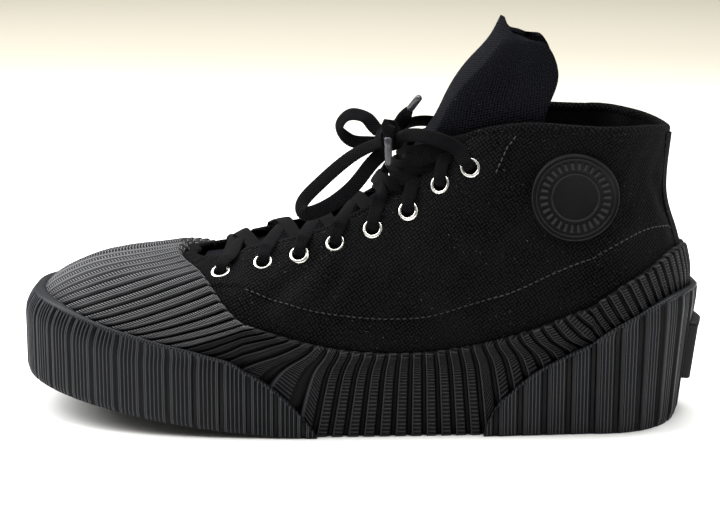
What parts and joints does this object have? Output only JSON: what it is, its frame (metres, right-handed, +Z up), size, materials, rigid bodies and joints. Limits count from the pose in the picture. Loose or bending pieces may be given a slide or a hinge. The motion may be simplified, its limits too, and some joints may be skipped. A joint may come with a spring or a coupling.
{
  "type": "sneaker",
  "caption": "Black canvas mid-top sneaker, left shoe, with ribbed rubber toe cap and rand, thick ribbed toe and heel bumpers, metal eyelets, flat laces tied in a bow and a round ankle patch.",
  "frame": {"origin": "on the ground plane under the middle of the shoe's length, on the outsole's flat bottom", "axes": "-X towards the toe, -Y towards the outer side of this left shoe, +Z up"},
  "size_m": [0.3048, 0.1064, 0.177],
  "materials": {
    "black_rubber": "satin",
    "black_canvas": "matte",
    "black_lining": "matte",
    "eyelet_metal": "polished",
    "black_lace_cotton": "matte",
    "aglet_plastic": "satin"
  },
  "bodies": {
    "root": {"outsole": "black_rubber", "rubber_shell": "black_rubber", "toe_bumper": "black_rubber", "heel_bumper": "black_rubber", "heel_tab": "black_rubber", "ankle_badge": "black_rubber", "upper": "black_canvas", "tongue": "black_canvas", "insole": "black_lining", "lace_crossings": "black_lace_cotton", "lace_knot": "black_lace_cotton", "lace_loop_outer": "black_lace_cotton", "lace_loop_inner": "black_lace_cotton", "lace_end_outer": "black_lace_cotton", "lace_end_inner": "black_lace_cotton", "aglet_outer": "aglet_plastic", "aglet_inner": "aglet_plastic", "eyelet_outer_1": "eyelet_metal", "eyelet_outer_2": "eyelet_metal", "eyelet_outer_3": "eyelet_metal", "eyelet_outer_4": "eyelet_metal", "eyelet_outer_5": "eyelet_metal", "eyelet_outer_6": "eyelet_metal", "eyelet_outer_7": "eyelet_metal", "eyelet_outer_8": "eyelet_metal", "eyelet_inner_1": "eyelet_metal", "eyelet_inner_2": "eyelet_metal", "eyelet_inner_3": "eyelet_metal", "eyelet_inner_4": "eyelet_metal", "eyelet_inner_5": "eyelet_metal", "eyelet_inner_6": "eyelet_metal", "eyelet_inner_7": "eyelet_metal", "eyelet_inner_8": "eyelet_metal"}
  },
  "joints": []
}
